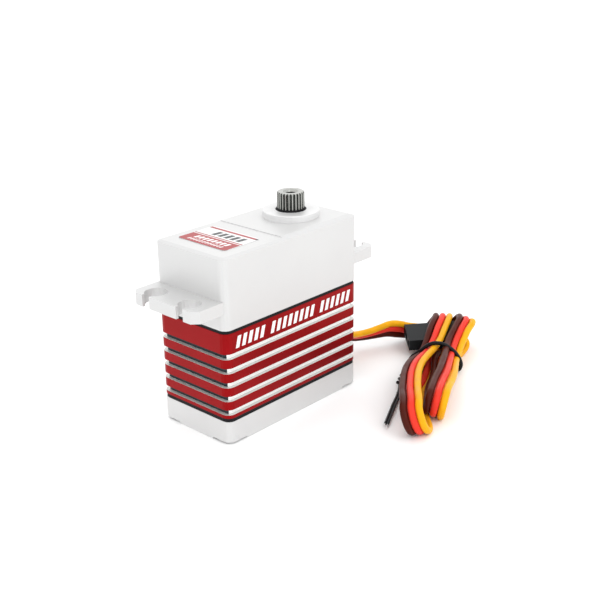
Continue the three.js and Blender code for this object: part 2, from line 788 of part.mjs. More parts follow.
const PLUG_SIZE = { length: 13.2, width: 7.4, height: 2.8 };
const PLUG_CORNER = [38.7, -11.4, 4.5];
const PLUG_YAW = THREE.MathUtils.degToRad(-43);
const PLUG_PITCH = THREE.MathUtils.degToRad(2);
const PLUG_ROLL = THREE.MathUtils.degToRad(10);
const CONTACT_PITCH = 2.3;

// Turns a piece from the plug's own frame (near top corner at the origin) to where it lies.
function placePlug(geometry) {
  return geometry
    .rotateX(PLUG_ROLL)
    .rotateY(-PLUG_PITCH)
    .rotateZ(PLUG_YAW)
    .translate(...PLUG_CORNER);
}

function polygon(points) {
  return new THREE.Shape(points.map(([x, y]) => new THREE.Vector2(x, y)));
}

// Inside of the tie band, seen along the hank: flat below, an arch over the mound of wires.
const TIE_INNER = [
  [5.3, 0.75],
  [5.5, 1.6],
  [4.9, 2.9],
  [3.5, 4.1],
  [1.9, 5.6],
  [1.0, 6.25],
  [-0.2, 6.5],
  [-1.4, 6.4],
  [-2.9, 5.7],
  [-4.4, 4.4],
  [-5.4, 2.9],
  [-5.7, 1.7],
  [-5.4, 0.75],
];
const TIE_PLACE = -1.5;
const TIE_THICKNESS = 0.65;
const TIE_HALF_WIDTH = 0.7;

// Extrudes the tie's inner outline, widened by a margin, along the hank at the tie's place.
function acrossHank(margin, halfLength) {
  const section = new wasm.CrossSection([TIE_INNER]);
  const [outline] = section.offset(margin, 'Round', 2, 16).toPolygons();
  const options = { depth: 2 * halfLength, bevelEnabled: false };
  return new THREE.ExtrudeGeometry(polygon(outline), options)
    .rotateX(Math.PI / 2)
    .rotateZ(Math.PI / 2)
    .translate(TIE_PLACE - halfLength, 0, 0);
}

function placeHank(geometry) {
  return geometry.rotateZ(HANK_TURN).translate(HANK_CENTRE[0], HANK_CENTRE[1], 0);
}

// One closed solid of the hank's outer shape, open where the plug and the tie pass.
function leadHank() {
  const plan = extrude(polygon(HANK_OUTLINE), 0.06, 9);
  const side = new THREE.ExtrudeGeometry(polygon(HANK_PROFILE), { depth: 24, bevelEnabled: false })
    .rotateX(Math.PI / 2)
    .translate(0, 12, 0);
  const body = solid(plan).intersect(solid(side));
  const waist = solid(acrossHank(4, 1.0)).subtract(solid(acrossHank(-0.3, 1.2)));
  const placed = solid(placeHank(geometryOf(body.subtract(waist))));
  const gap = 0.3;
  const plugSpace = new THREE.BoxGeometry(
    PLUG_SIZE.length + 2 * gap,
    PLUG_SIZE.width + 2 * gap,
    PLUG_SIZE.height + 2 * gap,
  ).translate(PLUG_SIZE.length / 2, PLUG_SIZE.width / 2, -PLUG_SIZE.height / 2);
  return geometryOf(placed.subtract(solid(placePlug(plugSpace))));
}

// Wire tie: a band round the hank's waist, a twisted knot and two cut tails.
function twistTie() {
  const band = solid(acrossHank(TIE_THICKNESS, TIE_HALF_WIDTH)).subtract(solid(acrossHank(0, 2)));
  const knot = rod([TIE_PLACE, 5.9, 1.5], [-12.5, 7.0, 1.1], 0.8);
  const tail = rod([-12.2, 6.95, 1.0], [-32.5, 7.0, 0.7], 0.55);
  const joined = band.add(solid(knot)).add(solid(tail));
  return placeHank(geometryOf(joined));
}

function rod(from, to, radius) {
  const start = new THREE.Vector3(...from);
  const end = new THREE.Vector3(...to);
  const along = end.clone().sub(start);
  const turn = new THREE.Quaternion().setFromUnitVectors(
    new THREE.Vector3(0, 1, 0),
    along.clone().normalize(),
  );
  return new THREE.CylinderGeometry(radius, radius, along.length(), 10)
    .applyQuaternion(turn)
    .translate(...start.add(end).multiplyScalar(0.5).toArray());
}

function contactRow(index) {
  return PLUG_SIZE.width / 2 + index * CONTACT_PITCH;
}

// Housing with three square sockets open at the mating end, and three wire entries behind.
function plugHousing() {
  const { length, width, height } = PLUG_SIZE;
  const cavities = [-1, 0, 1].map((index) => {
    const y = contactRow(index);
    return block([-1, length - 3], [y - 0.85, y + 0.85], [-height + 0.55, -0.55]);
  });
  const entries = [-1, 0, 1].map((index) => new THREE.CylinderGeometry(0.8, 0.8, 6, 10)
    .rotateZ(Math.PI / 2)
    .translate(length - 1, contactRow(index), -height / 2));
  const housing = combine(block([0, length], [0, width], [-height, 0]), {
    cut: [...cavities, ...entries],
  });
  return placePlug(housing);
}

function plugContact(index) {
  const { length, height } = PLUG_SIZE;
  const y = contactRow(index);
  const z = -height / 2;
  const body = block([0.8, length - 3.4], [y - 0.55, y + 0.55], [z - 0.55, z + 0.55]);
  const socket = block([-1, 5.5], [y - 0.33, y + 0.33], [z - 0.33, z + 0.33]);
  return placePlug(combine(body, { cut: [socket] }));
}

// ---- assembly -----------------------------------------------------------------------------

const servo = new THREE.Group();
const machine = new THREE.Group();
machine.position.z = FOOT_HEIGHT;
servo.add(machine);

machine.add(named('top_case', topCase(), silver));
machine.add(named('middle_case', middleCase(), red));
machine.add(named('bottom_cover', bottomCover(), silver));
machine.add(named('upper_gasket', gasket(MIDDLE_TOP, UPPER_GASKET_TOP), rubber));
machine.add(named('lower_gasket', gasket(COVER_TOP, LOWER_GASKET_TOP), rubber));
screwPlaces().forEach((place, index) => {
  machine.add(named(`case_screw_${index + 1}`, caseScrew(place), steel));
});
machine.add(named('top_label', topLabel(), labelFilm));

machine.add(named('output_shaft', outputShaft(), steel));
machine.add(named('output_gear', outputGear(), steel));
machine.add(named('shaft_seal', shaftSeal(), rubber));
machine.add(named('upper_bearing_inner_race', innerRace(UPPER_BEARING), steel));
machine.add(named('upper_bearing_outer_race', outerRace(UPPER_BEARING), steel));
machine.add(named('upper_bearing_balls', bearingBalls(UPPER_BEARING), steel));
machine.add(named('lower_bearing_inner_race', innerRace(LOWER_BEARING), steel));
machine.add(named('lower_bearing_outer_race', outerRace(LOWER_BEARING), steel));
machine.add(named('lower_bearing_balls', bearingBalls(LOWER_BEARING), steel));

machine.add(named('gear_1', gear1(), brass));
machine.add(named('gear_2', gear2(), steel));
machine.add(named('gear_3', gear3(), steel));
machine.add(named('pin_1', cylinder(PIN_RADIUS, 22.92, 39.15, PIN_1, 16), steel));
machine.add(named('pin_2', cylinder(PIN_RADIUS, 28.05, 39.15, PIN_2, 16), steel));
machine.add(named('motor_pinion', motorPinion(), brass));

machine.add(named('motor_rotor', motorRotor(), copper));
machine.add(named('motor_can', motorCan(), steel));
machine.add(named('motor_end_cap', motorEndCap(), whitePlastic));
machine.add(named('motor_screw_1', motorScrew(-1), steel));
machine.add(named('motor_screw_2', motorScrew(1), steel));
machine.add(named('potentiometer_body', potentiometerBody(), blackPlastic));
machine.add(named('potentiometer_shaft', potentiometerShaft(), brass));

machine.add(named('circuit_board', circuitBoard(), boardGreen));
machine.add(named('controller_chip', chip(10.5, 1.5, 6.0, 4.0, 1.2), blackPlastic));
machine.add(named('driver_chip_1', chip(-8.5, -2.6, 5.0, 2.6, 1.2), blackPlastic));
machine.add(named('driver_chip_2', chip(-8.5, 2.6, 5.0, 2.6, 1.2), blackPlastic));
machine.add(named('capacitor', capacitor(), blackPlastic));

machine.add(named('cable_grommet', cableGrommet(), rubber));
servo.add(named('lead_brown', leadWire(-1), leadBrown));
servo.add(named('lead_red', leadWire(0), leadRed));
servo.add(named('lead_yellow', leadWire(1), leadYellow));
servo.add(named('lead_hank', leadHank(), leadRed));
servo.add(named('twist_tie', twistTie(), blackPlastic));
servo.add(named('plug_housing', plugHousing(), blackPlastic));
[-1, 0, 1].forEach((index) => {
  servo.add(named(`plug_contact_${index + 2}`, plugContact(index), gold));
});

export default servo;
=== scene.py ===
"""Looks for the hobby servo motor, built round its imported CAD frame.

Frame: metres, +X along the case towards the output shaft, +Z up, z = 0 on the bench.
Dimensions below are in millimetres, and mm() turns them into metres for Blender.
"""

import math

import bmesh
import bpy
from mathutils import Matrix, Vector


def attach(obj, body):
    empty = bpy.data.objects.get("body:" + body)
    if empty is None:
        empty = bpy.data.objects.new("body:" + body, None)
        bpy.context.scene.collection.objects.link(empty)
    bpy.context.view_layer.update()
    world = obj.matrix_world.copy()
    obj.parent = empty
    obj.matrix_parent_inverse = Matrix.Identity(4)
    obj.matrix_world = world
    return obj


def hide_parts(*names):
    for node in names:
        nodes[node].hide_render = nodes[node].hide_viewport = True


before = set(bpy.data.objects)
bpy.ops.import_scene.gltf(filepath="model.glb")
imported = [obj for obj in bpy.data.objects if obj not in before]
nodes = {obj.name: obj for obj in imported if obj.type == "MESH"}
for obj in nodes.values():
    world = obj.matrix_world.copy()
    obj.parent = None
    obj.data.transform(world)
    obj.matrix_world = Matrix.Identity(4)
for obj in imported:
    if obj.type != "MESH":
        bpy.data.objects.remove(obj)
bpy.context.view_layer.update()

# ---- driving dimensions: mm, degrees, watts -------------------------------------------

CAMERA_AT = (-149.173, -148.780, 105.358)
CAMERA_AZIMUTH = -47.361
CAMERA_ELEVATION = 21.250
CAMERA_ROLL = -0.708
CAMERA_LENS = 62.84

WIRE_DIAMETER = 1.56
WIRE_PITCH = 1.6

GROOVE_TOPS = (20.1, 17.0, 13.9, 10.85, 7.8)
GROOVE_HEIGHT = 1.1

FRONT_Y = -10.1
FRONT_BAND_Z = 22.25
FRONT_BARS_START = -17.6
FRONT_BAR_HEIGHT = 2.5
FRONT_BAR_WIDTH = 0.95
FRONT_BAR_LEAN = 0.7
FRONT_BAR_PITCH = 1.72
FRONT_GROUP_GAP = 1.4

LABEL_TOP_Z = 40.34
LABEL_LEFT = 7.2
LABEL_RIGHT = -6.5
LABEL_BLOCK_LOW = -16.3
LABEL_BLOCK_HIGH = -11.95
LABEL_ROUNDING = 0.85
RIM_OUT = 0.1
RIM_IN = 0.22
BAR_ROW_SLANT = -0.3
INK_THICKNESS = 0.015
FRONT_INK_THICKNESS = 0.03
BAR_INK_THICKNESS = 0.012
RIM_INK_THICKNESS = 0.006
STRIPE_END_LIFT = 0.016

OUTPUT_X = 9.85
SPLINE_RADIUS = 3.0
BOSS_RADIUS = 6.2
BOSS_FOOT_Z = 40.45

HANK_CENTRE = Vector((38.8, -19.3, 0.0))
HANK_ALONG = Vector((0.87, 0.493, 0.0))
HANK_RIGHT = Vector((0.493, -0.87, 0.0))

PLUG_SIZE = (13.2, 7.4, 2.8)
PLUG_CORNER = (38.7, -11.4, 4.5)
PLUG_TURNS = (10.0, -2.0, -43.0)
PLUG_EDGE = 0.12
CONTACT_PITCH = 2.3
PLUG_HOLE_WIDTH = 1.7
CONTACT_HOLE_WALL = 0.55
WIRE_HOLE_WALL = 0.5

TIE_PLACE = -1.5
TIE_BAND_DIAMETER = 0.95
TIE_STRAND_DIAMETER = 0.82
TIE_TAIL_DIAMETER = 0.58
TIE_TIP_DIAMETER = 0.32
KNOT_TURNS = 3.0
KNOT_RADIUS = 0.42

FLOOR_DROP = 0.02
WORLD_STRENGTH = 1.32
KEY_WATTS = 0.44
FILL_WATTS = 0.11


def mm(value):
    """Millimetres to metres, for one number or a point."""
    if isinstance(value, (int, float)):
        return value / 1000
    return Vector(value) / 1000


# ---- camera ---------------------------------------------------------------------------


def make_camera():
    """The camera of the main view; its azimuth and roll turn anticlockwise from +Y."""
    azimuth = math.radians(CAMERA_AZIMUTH)
    elevation = math.radians(CAMERA_ELEVATION)
    roll = math.radians(CAMERA_ROLL)
    back = Vector((
        math.sin(azimuth) * math.cos(elevation),
        -math.cos(azimuth) * math.cos(elevation),
        math.sin(elevation),
    ))
    level = Vector((0, 0, 1)).cross(back).normalized()
    upright = back.cross(level)
    right = math.cos(roll) * level + math.sin(roll) * upright
    up = math.cos(roll) * upright - math.sin(roll) * level
    data = bpy.data.cameras.new("camera")
    data.lens = CAMERA_LENS
    data.sensor_width = 36
    data.clip_start = 0.01
    data.clip_end = 10
    camera = bpy.data.objects.new("camera", data)
    bpy.context.scene.collection.objects.link(camera)
    turn = Matrix((right, up, back)).transposed()
    camera.matrix_world = Matrix.Translation(mm(CAMERA_AT)) @ turn.to_4x4()
    bpy.context.scene.camera = camera


make_camera()

# ---- material helpers -----------------------------------------------------------------


class Shader:
    """A node material: its Principled shader, and short calls that add nodes to it."""

    def __init__(self, name, roughness, metallic=0.0, **sockets):
        self.material = bpy.data.materials.new(name)
        self.material.use_nodes = True
        self.nodes = self.material.node_tree.nodes
        self.links = self.material.node_tree.links
        self.surface = self.nodes["Principled BSDF"]
        self.surface.inputs["Roughness"].default_value = roughness
        self.surface.inputs["Metallic"].default_value = metallic
        for socket, value in sockets.items():
            self.surface.inputs[socket.replace("_", " ")].default_value = value
        coordinates = self.nodes.new("ShaderNodeTexCoord")
        self.place = coordinates.outputs["Object"]
        self.facing = coordinates.outputs["Normal"]

    def join(self, output, socket):
        self.links.new(output, socket)

    def put(self, value, socket):
        """Joins value to a socket, or writes it there when it is a plain number."""
        if isinstance(value, bpy.types.NodeSocket):
            self.join(value, socket)
        else:
            socket.default_value = value

    def put_colour(self, value, socket):
        """The same for a colour, given as an output or as red, green and blue."""
        if isinstance(value, bpy.types.NodeSocket):
            self.join(value, socket)
        else:
            socket.default_value = (*value, 1)

    def noise(self, scale, detail, stretch=(1, 1, 1)):
        """Smooth noise fixed to the piece; scale counts its waves in a metre."""
        mapping = self.nodes.new("ShaderNodeMapping")
        mapping.inputs["Scale"].default_value = stretch
        texture = self.nodes.new("ShaderNodeTexNoise")
        texture.inputs["Scale"].default_value = scale
        texture.inputs["Detail"].default_value = detail
        self.join(self.place, mapping.inputs["Vector"])
        self.join(mapping.outputs["Vector"], texture.inputs["Vector"])
        return texture.outputs["Fac"]

    def ramp(self, factor, low, high, first, last):
        """first where factor is low or less, last where it is high or more."""
        node = self.nodes.new("ShaderNodeMapRange")
        node.inputs["From Min"].default_value = low
        node.inputs["From Max"].default_value = high
        node.inputs["To Min"].default_value = first
        node.inputs["To Max"].default_value = last
        self.join(factor, node.inputs["Value"])
        return node.outputs["Result"]

    def mix(self, factor, first, second):
        """The first colour where factor is 0, and the second where it is 1."""
        node = self.nodes.new("ShaderNodeMix")
        node.data_type = "RGBA"
        self.join(factor, node.inputs["Factor"])
        self.put_colour(first, node.inputs[6])
        self.put_colour(second, node.inputs[7])
        return node.outputs[2]

    def math(self, operation, *values):
        """A sum on one or two values, each an output or a plain number."""
        node = self.nodes.new("ShaderNodeMath")
        node.operation = operation
        for value, socket in zip(values, node.inputs):
            self.put(value, socket)
        return node.outputs["Value"]

    def component(self, vector, name):
        """X, Y or Z of a vector output."""
        node = self.nodes.new("ShaderNodeSeparateXYZ")
        self.join(vector, node.inputs["Vector"])
        return node.outputs[name]

    def axis(self, name):
        """X, Y or Z of the shaded point, in the piece's own frame."""
        return self.component(self.place, name)

    def slope(self, name):
        """X, Y or Z of the direction the surface faces, in the piece's own frame."""
        return self.component(self.facing, name)

    def shaft_distance(self):
        """How far a point lies from the output shaft's axis."""
        away = self.math("SUBTRACT", self.axis("X"), mm(OUTPUT_X))
        aside = self.axis("Y")
        away_squared = self.math("MULTIPLY", away, away)
        aside_squared = self.math("MULTIPLY", aside, aside)
        return self.math("SQRT", self.math("ADD", away_squared, aside_squared))

    def colour(self, value):
        self.put_colour(value, self.surface.inputs["Base Color"])

    def roughness(self, output):
        self.join(output, self.surface.inputs["Roughness"])

    def metallic(self, output):
        self.join(output, self.surface.inputs["Metallic"])

    def bump(self, height, distance, strength):
        """Makes the surface look raised, by distance where height is 1."""
        node = self.nodes.new("ShaderNodeBump")
        node.inputs["Strength"].default_value = strength
        node.inputs["Distance"].default_value = distance
        self.join(height, node.inputs["Height"])
        self.join(node.outputs["Normal"], self.surface.inputs["Normal"])


def between(shader, value, low, high):
    """1 where value lies between low and high, else 0."""
    above = shader.math("GREATER_THAN", value, low)
    below = shader.math("LESS_THAN", value, high)
    return shader.math("MULTIPLY", above, below)


# ---- materials ------------------------------------------------------------------------


def bead_blasted(name, tone):
    """Bead-blasted aluminium under clear anodising, with painted shade on the bevel faces, and a
    turned shaft boss lightened by a painted highlight.
    """
    shader = Shader(name, 0.5, metallic=0.5, Specular_IOR_Level=0.3)
    cloud = shader.ramp(shader.noise(90, 4), 0.3, 0.7, 0.0, 1.0)
    blasted = shader.mix(cloud, [0.965 * tone] * 3, [0.99 * tone, 0.99 * tone, 0.985 * tone])
    # Painted shade: faces tilted a little off level, the edge bevels, are darkened to 0.94 of the
    # tone.
    bevel = between(shader, shader.slope("Z"), 0.9, 0.985)
    with_painted_bevel_shade = shader.mix(bevel, blasted, [0.94 * tone] * 3)
    near_shaft = shader.math("LESS_THAN", shader.shaft_distance(), mm(BOSS_RADIUS + 0.05))
    above_deck = shader.math("GREATER_THAN", shader.axis("Z"), mm(BOSS_FOOT_Z))
    boss = shader.math("MULTIPLY", near_shaft, above_deck)
    # The boss carries turned marks, partly real and partly painted highlight: they lighten it up
    # to 1.2 of the tone.
    rings = shader.noise(2200, 2, (0.08, 0.08, 3))
    turned_marks_and_painted_highlight = shader.mix(rings, [0.98 * tone] * 3, [1.2 * tone] * 3)
    shader.colour(shader.mix(boss, with_painted_bevel_shade, turned_marks_and_painted_highlight))
    grain = shader.noise(9000, 2)
    shader.roughness(shader.ramp(grain, 0.3, 0.7, 0.42, 0.56))
    shader.bump(grain, mm(0.012), 0.5)
    return shader.material


# Groove metal in three tones by facing: bright sides, painted shade on the ledges, and a painted
# dark reflection on the floors across the ends.
GROOVE_BRIGHT = (0.98, 0.98, 0.97)
GROOVE_LEDGE_PAINTED_SHADE = (0.62, 0.62, 0.6)
GROOVE_END_PAINTED_DARK_REFLECTION = (0.025, 0.032, 0.038)


def groove_metal(shader):
    """Bare metal in the grooves, with painted light: bright along the sides, painted shade on the
    ledges, and a painted dark reflection on the floor across the ends.
    """
    # Floors across the ends get a painted dark reflection.
    across_end = shader.math("GREATER_THAN", shader.math("ABSOLUTE", shader.slope("X")), 0.6)
    off_back = shader.math("LESS_THAN", shader.slope("Y"), 0.3)
    floor = shader.math("MULTIPLY", across_end, off_back)
    # Level ledges get painted shade.
    ledge_painted_shade = shader.math("GREATER_THAN", shader.math("ABSOLUTE", shader.slope("Z")), 0.6)
    side = shader.mix(ledge_painted_shade, GROOVE_BRIGHT, GROOVE_LEDGE_PAINTED_SHADE)
    return shader.mix(floor, side, GROOVE_END_PAINTED_DARK_REFLECTION)


def red_anodised():
    """Satin red anodised aluminium, with the floors of the grooves machined bare and carrying
    painted shade and a painted dark reflection.
    """
    shader = Shader("red_anodised", 0.4, Specular_IOR_Level=0.2)
    height = shader.axis("Z")
    bare = None
    for top in GROOVE_TOPS:
        low = mm(top - GROOVE_HEIGHT - 0.02)
        high = mm(top + 0.02)
        band = between(shader, height, low, high)
        bare = band if bare is None else shader.math("MAXIMUM", bare, band)
    cloud = shader.ramp(shader.noise(120, 4), 0.3, 0.7, 0.0, 1.0)
    red = shader.mix(cloud, (0.27, 0.003, 0.004), (0.315, 0.004, 0.007))
    # The bare grooves take groove_metal's painted shade on ledges and painted dark reflection on
    # end floors.
    shader.colour(shader.mix(bare, red, groove_metal(shader)))
    shader.metallic(shader.ramp(bare, 0, 1, 0.7, 0.35))
    shader.roughness(shader.ramp(bare, 0, 1, 0.4, 0.3))
    grain = shader.noise(8000, 2)
    shader.bump(grain, mm(0.01), 0.4)
    return shader.material


def splined_steel():
    """Hardened steel, with painted highlights along the tooth tips and upward chamfers, and
    painted shade between the teeth.
    """
    shader = Shader("spline_steel", 0.24, metallic=1.0)
    below_tip = mm(SPLINE_RADIUS - 0.1)
    at_tip = mm(SPLINE_RADIUS - 0.02)
    # Painted light: a painted highlight on the tooth tips and upward faces, and painted shade in
    # the valleys between the teeth.
    tip = shader.ramp(shader.shaft_distance(), below_tip, at_tip, 0, 1)
    upward_painted_highlight = shader.ramp(shader.slope("Z"), 0.3, 0.6, 0, 1)
    painted_highlight = shader.math("MAXIMUM", tip, upward_painted_highlight)
    marks = shader.noise(2600, 3, (1, 1, 8))
    tooth_highlight_and_shade = shader.mix(painted_highlight, (0.015, 0.02, 0.016), (0.42, 0.42, 0.4))
    shader.colour(shader.mix(shader.ramp(marks, 0.35, 0.65, 0, 0.35), tooth_highlight_and_shade, (0.3, 0.31, 0.29)))
    shader.roughness(shader.ramp(marks, 0.3, 0.7, 0.18, 0.36))
    shader.bump(marks, mm(0.01), 0.35)
    return shader.material


def machined(name, tone, roughness=0.28):
    """Turned or milled metal, with fine level tool marks."""
    shader = Shader(name, roughness, metallic=1.0)
    marks = shader.noise(2600, 3, (1, 1, 8))
    darker = [0.8 * part for part in tone]
    shader.colour(shader.mix(marks, darker, tone))
    shader.roughness(shader.ramp(marks, 0.3, 0.7, roughness - 0.07, roughness + 0.12))
    shader.bump(marks, mm(0.01), 0.35)
    return shader.material


def moulded(name, tone, roughness, grain_scale=5200):
    """Moulded plastic or rubber with a fine grain."""
    shader = Shader(name, roughness, Specular_IOR_Level=0.16)
    grain = shader.noise(grain_scale, 3)
    lighter = [min(1.0, 1.25 * part + 0.002) for part in tone]
    shader.colour(shader.mix(grain, tone, lighter))
    shader.roughness(shader.ramp(grain, 0.3, 0.7, roughness - 0.08, roughness + 0.08))
    shader.bump(grain, mm(0.012), 0.5)
    return shader.material


def insulation(name, tone):
    """Soft wire insulation: satin, a little uneven in gloss, with faint extrusion waves."""
    shader = Shader(
        name,
        0.36,
        Specular_IOR_Level=0.12,
        Subsurface_Weight=0.04,
        Subsurface_Scale=mm(0.6),
    )
    patch = shader.noise(420, 4)
    darker = [0.86 * part for part in tone]
    shader.colour(shader.mix(shader.ramp(patch, 0.3, 0.7, 0, 1), darker, tone))
    shader.roughness(shader.ramp(patch, 0.3, 0.7, 0.3, 0.45))
    shader.bump(shader.noise(1500, 3), mm(0.03), 0.35)
    return shader.material


def printed(name, tone, roughness=0.4):
    """Printed ink or film: an even tone with a slight screen grain."""
    shader = Shader(name, roughness)
    grain = shader.noise(3500, 2)
    darker = [0.93 * part for part in tone]
    shader.colour(shader.mix(grain, darker, tone))
    shader.bump(grain, mm(0.004), 0.3)
    return shader.material


def board_mask():
    """Green solder mask over copper tracks."""
    shader = Shader("board_mask", 0.35, Coat_Weight=0.3)
    tracks = shader.nodes.new("ShaderNodeTexBrick")
    tracks.inputs["Scale"].default_value = 260
    tracks.inputs["Color1"].default_value = (0.02, 0.16, 0.06, 1)
    tracks.inputs["Color2"].default_value = (0.03, 0.2, 0.08, 1)
    tracks.inputs["Mortar"].default_value = (0.06, 0.28, 0.12, 1)
    shader.join(shader.place, tracks.inputs["Vector"])
    shader.colour(tracks.outputs["Color"])
    shader.bump(tracks.outputs["Fac"], mm(0.02), 0.4)
    return shader.material


def wound_rotor():
    """Steel laminations, with copper windings showing between them."""
    shader = Shader("wound_rotor", 0.35, metallic=1.0)
    turns = shader.ramp(shader.noise(700, 2, (1, 1, 0.1)), 0.45, 0.55, 0, 1)
    shader.colour(shader.mix(turns, (0.35, 0.35, 0.36), (0.72, 0.34, 0.16)))
    shader.bump(turns, mm(0.05), 0.4)
    return shader.material


BEAD_BLASTED_TOP = bead_blasted("silver_top", 0.655)
BEAD_BLASTED_COVER = bead_blasted("silver_cover", 0.668)
RED = red_anodised()
GASKET = moulded("gasket_rubber", (0.006, 0.006, 0.007), 0.6)
STEEL = machined("steel", (0.55, 0.55, 0.55))
SPLINE_STEEL = splined_steel()
BRASS = machined("brass", (0.72, 0.5, 0.2), 0.3)
GOLD = machined("gold_plating", (0.95, 0.68, 0.28), 0.22)
BLACK_PLASTIC = moulded("black_plastic", (0.009, 0.01, 0.011), 0.45)
WHITE_PLASTIC = moulded("white_plastic", (0.75, 0.72, 0.64), 0.45)
LABEL_FILM = printed("label_film", (0.78, 0.78, 0.78), 0.35)
INK_RED = printed("ink_red", (0.36, 0.022, 0.026))
INK_WHITE = printed("ink_white", (0.87, 0.87, 0.87))
INK_GREY = printed("ink_grey", (0.035, 0.035, 0.04))
WIRE_BROWN = insulation("insulation_brown", (0.07, 0.008, 0.003))
WIRE_RED = insulation("insulation_red", (0.82, 0.045, 0.027))
WIRE_YELLOW = insulation("insulation_yellow", (0.87, 0.41, 0.007))
TIE_PLASTIC = moulded("tie_plastic", (0.006, 0.006, 0.007), 0.32, 3000)
TIN = machined("tinned_wire", (0.8, 0.8, 0.8), 0.25)
BOARD = board_mask()
ROTOR = wound_rotor()

NODE_MATERIALS = {
    "top_case": BEAD_BLASTED_TOP,
    "bottom_cover": BEAD_BLASTED_COVER,
    "middle_case": RED,
    "upper_gasket": GASKET,
    "lower_gasket": GASKET,
    "shaft_seal": GASKET,
    "cable_grommet": GASKET,
    "top_label": LABEL_FILM,
    "output_shaft": SPLINE_STEEL,
    "gear_1": BRASS,
    "motor_pinion": BRASS,
    "potentiometer_shaft": BRASS,
    "motor_rotor": ROTOR,
    "motor_end_cap": WHITE_PLASTIC,
    "circuit_board": BOARD,
    "potentiometer_body": BLACK_PLASTIC,
    "controller_chip": BLACK_PLASTIC,
    "driver_chip_1": BLACK_PLASTIC,
    "driver_chip_2": BLACK_PLASTIC,
    "capacitor": BLACK_PLASTIC,
    "plug_contact_1": GOLD,
    "plug_contact_2": GOLD,
    "plug_contact_3": GOLD,
}

EDGE_WIDTHS = {
    "top_case": 0.16,
    "bottom_cover": 0.14,
    "middle_case": 0.07,
    "output_shaft": 0.05,
}
EDGE_ANGLE = 38


def finish_nodes():
    """Gives every CAD node its material, and softens the edges of those that show."""
    for name, node in nodes.items():
        node.data.materials.clear()
        node.data.materials.append(NODE_MATERIALS.get(name, STEEL))
    for name, width in EDGE_WIDTHS.items():
        weld = nodes[name].modifiers.new("weld", "WELD")
        weld.merge_threshold = mm(0.002)
        bevel = nodes[name].modifiers.new("bevel", "BEVEL")
        bevel.width = mm(width)
        bevel.segments = 2
        bevel.limit_method = "ANGLE"
        bevel.angle_limit = math.radians(EDGE_ANGLE)


finish_nodes()

# ---- mesh and curve helpers -----------------------------------------------------------


def link(name, data, material):
    """Adds a piece with one material, riding on the case."""
    piece = bpy.data.objects.new(name, data)
    bpy.context.scene.collection.objects.link(piece)
    data.materials.append(material)
    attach(piece, "case")
    return piece


def tube(name, points, diameter, material):
    """A round tube along one open smooth curve through points in mm."""
    curve = bpy.data.curves.new(name, "CURVE")
    curve.dimensions = "3D"
    curve.bevel_depth = mm(diameter / 2)
    curve.bevel_resolution = 5
    curve.resolution_u = 10
    curve.use_fill_caps = True
    spline = curve.splines.new("BEZIER")
    spline.bezier_points.add(len(points) - 1)
    for handle, point in zip(spline.bezier_points, points):
        handle.co = mm(point)
        handle.handle_left_type = "AUTO"
        handle.handle_right_type = "AUTO"
    return link(name, curve, material)


# ---- three-wire lead ------------------------------------------------------------------


def in_hank(along, right, up):
    """A point of the hank's own frame, in mm, in the frame of the servo."""
    return HANK_CENTRE + along * HANK_ALONG + right * HANK_RIGHT + Vector((0, 0, up))


# Each entry: a point on the red wire, and the direction from the brown to the yellow one.
LEAD_START = [
    ((25.5, 0, 7.2), (0, -1, 0)),
    ((28.5, 0, 6.2), (0, -0.97, 0.24)),
    ((32.0, 0, 4.8), (0, -0.82, 0.57)),
    ((35.5, -0.7, 4.3), (0, -0.7, 0.71)),
    ((38.5, -1.8, 4.4), (0, -0.55, 0.83)),
    ((41.5, -3.0, 4.5), (0, -0.35, 0.94)),
    ((44.0, -4.1, 3.9), (0, -0.25, 0.97)),
    ((46.3, -4.9, 3.1), (-0.15, -0.3, 0.94)),
]

# The same for the hanked part, in the hank's frame: along it, to its right, and up.
TURN_ONTO_HANK = [
    ((15.5, -7.2, 2.4), (-0.35, 0.35, 0.86)),
    ((17.3, -5.2, 2.1), (-0.7, 0.62, 0.62)),
    ((18.4, -3.1, 2.4), (-0.75, 0.8, 0.3)),
    ((18.5, -1.6, 3.8), (-0.4, 1.05, 0.15)),
    ((17.3, -0.6, 5.6), (0.0, 1.03, 0.0)),
    ((15.7, -0.2, 6.8), (0.1, 1.04, 0.0)),
    ((13.6, -0.15, 7.1), (0.1, 1.05, 0.0)),
]

FIRST_TOP_PASS = [
    ((8.0, -0.7, 6.5), (0, 1.07, 0.05)),
    ((3.0, -1.2, 5.3), (0, 1.05, 0.35)),
    ((-1.5, -2.0, 4.6), (0, 1.02, 0.6)),
    ((-6.0, -2.95, 5.1), (0, 1.0, 0.4)),
    ((-10.5, -3.6, 5.7), (0, 1.0, 0.28)),
    ((-15.9, -3.85, 6.1), (0, 0.98, 0.22)),
    ((-21.8, -3.45, 6.5), (0, 0.98, 0.2)),
    ((-27.2, -2.85, 6.8), (0.1, 0.99, 0.16)),
]

FIRST_LOW_PASS = [
    ((-26.0, -1.3, 0.85), (0, 1, 0)),
    ((-18.0, -2.7, 0.85), (0, 1, 0)),
    ((-9.0, -1.9, 0.85), (0, 1, 0)),
    ((-1.5, -1.5, 1.6), (0, 1, 0)),
    ((4.0, -1.9, 0.9), (0, 1, 0)),
    ((9.0, -1.5, 0.85), (-0.1, 1, 0)),
]

SECOND_TOP_PASS = [
    ((8.0, 4.9, 6.5), (0, 0.98, -0.14)),
    ((3.0, 3.95, 5.15), (0, 0.9, -0.5)),
    ((-1.5, 3.65, 4.5), (0, 0.78, -0.75)),
    ((-6.0, 3.68, 5.0), (0, 0.82, -0.6)),
    ((-10.5, 3.75, 5.5), (0, 0.92, -0.42)),
    ((-15.0, 3.75, 5.9), (0, 1.02, -0.27)),
    ((-20.0, 3.42, 6.25), (0, 1.08, -0.15)),
]

